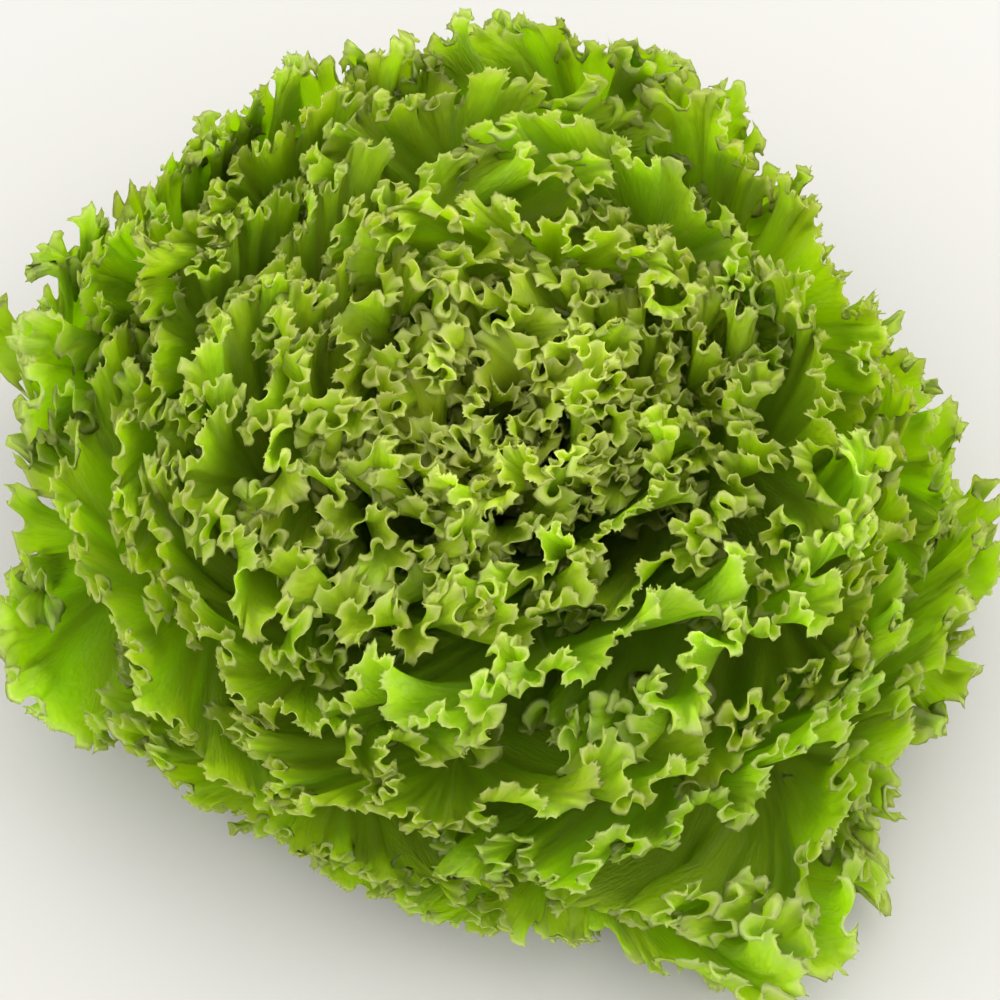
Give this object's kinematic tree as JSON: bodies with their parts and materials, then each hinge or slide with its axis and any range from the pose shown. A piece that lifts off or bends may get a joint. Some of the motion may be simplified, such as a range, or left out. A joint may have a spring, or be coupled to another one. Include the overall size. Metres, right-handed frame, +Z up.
{
  "type": "lollo bionda lettuce",
  "caption": "Cut head of frilly green lettuce: overlapping leaves with tightly ruffled rims, spread in a mound on a short cut stem.",
  "frame": {"origin": "middle of the base of the head's bounding box, on the surface it rests on", "axes": "+Z up. The head leans towards -Y, the side the heart faces; +X is to the right when it is seen from -Y."},
  "size_m": [0.3068, 0.3002, 0.1575],
  "materials": {
    "stem_flesh": "moist, pale, satin",
    "outer_leaf": "waxy leaf, satin",
    "middle_leaf": "waxy leaf, satin",
    "inner_leaf": "waxy leaf, satin",
    "heart_leaf": "waxy leaf, satin"
  },
  "bodies": {
    "root": {"cut_stem": "stem_flesh", "outer_leaf_01": "outer_leaf", "outer_leaf_02": "outer_leaf", "outer_leaf_03": "outer_leaf", "outer_leaf_04": "outer_leaf", "outer_leaf_05": "outer_leaf", "outer_leaf_06": "outer_leaf", "outer_leaf_07": "outer_leaf", "outer_leaf_08": "outer_leaf", "outer_leaf_09": "outer_leaf", "outer_leaf_10": "outer_leaf", "outer_leaf_11": "outer_leaf", "outer_leaf_12": "outer_leaf", "outer_leaf_13": "outer_leaf", "outer_leaf_14": "outer_leaf", "outer_leaf_15": "outer_leaf", "middle_leaf_01": "middle_leaf", "middle_leaf_02": "middle_leaf", "middle_leaf_03": "middle_leaf", "middle_leaf_04": "middle_leaf", "middle_leaf_05": "middle_leaf", "middle_leaf_06": "middle_leaf", "middle_leaf_07": "middle_leaf", "middle_leaf_08": "middle_leaf", "middle_leaf_09": "middle_leaf", "middle_leaf_10": "middle_leaf", "middle_leaf_11": "middle_leaf", "middle_leaf_12": "middle_leaf", "middle_leaf_13": "middle_leaf", "middle_leaf_14": "middle_leaf", "middle_leaf_15": "middle_leaf", "inner_leaf_01": "inner_leaf", "inner_leaf_02": "inner_leaf", "inner_leaf_03": "inner_leaf", "inner_leaf_04": "inner_leaf", "inner_leaf_05": "inner_leaf", "inner_leaf_06": "inner_leaf", "inner_leaf_07": "inner_leaf", "inner_leaf_08": "inner_leaf", "inner_leaf_09": "inner_leaf", "inner_leaf_10": "inner_leaf", "inner_leaf_11": "inner_leaf", "inner_leaf_12": "inner_leaf", "heart_leaf_01": "heart_leaf", "heart_leaf_02": "heart_leaf", "heart_leaf_03": "heart_leaf", "heart_leaf_04": "heart_leaf", "heart_leaf_05": "heart_leaf", "heart_leaf_06": "heart_leaf"}
  },
  "joints": []
}
